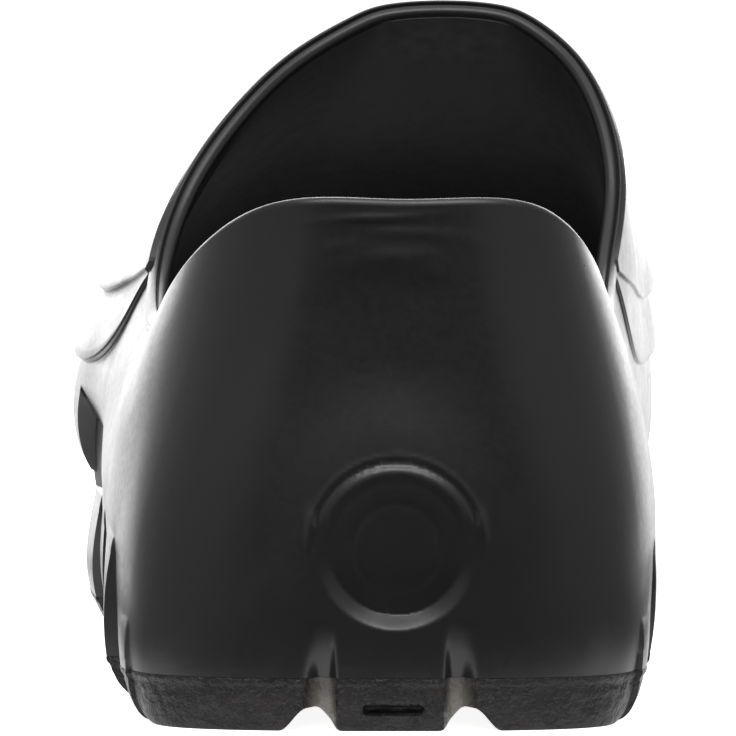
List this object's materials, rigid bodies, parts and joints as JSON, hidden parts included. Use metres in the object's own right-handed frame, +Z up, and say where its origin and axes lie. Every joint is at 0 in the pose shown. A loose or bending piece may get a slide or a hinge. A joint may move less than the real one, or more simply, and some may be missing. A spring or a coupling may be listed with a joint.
{
  "type": "chef clog",
  "caption": "Left closed-back kitchen clog: one-piece foam body with open collar, raised vamp layers and ribbed side walls, rubber tread and loose insole.",
  "frame": {"origin": "centre of the heel's flat tread, on the floor plane", "axes": "+Y from heel to toe, +X to the medial (big toe) side, +Z up"},
  "size_m": [0.1067, 0.2855, 0.1122],
  "materials": {
    "upper_foam": "smooth moulded EVA foam with a satin gloss",
    "outsole_rubber": "matt, finely grained",
    "insole_foam": "matt closed-cell foam"
  },
  "bodies": {
    "root": {"upper": "upper_foam", "outsole": "outsole_rubber", "insole": "insole_foam"}
  },
  "joints": []
}
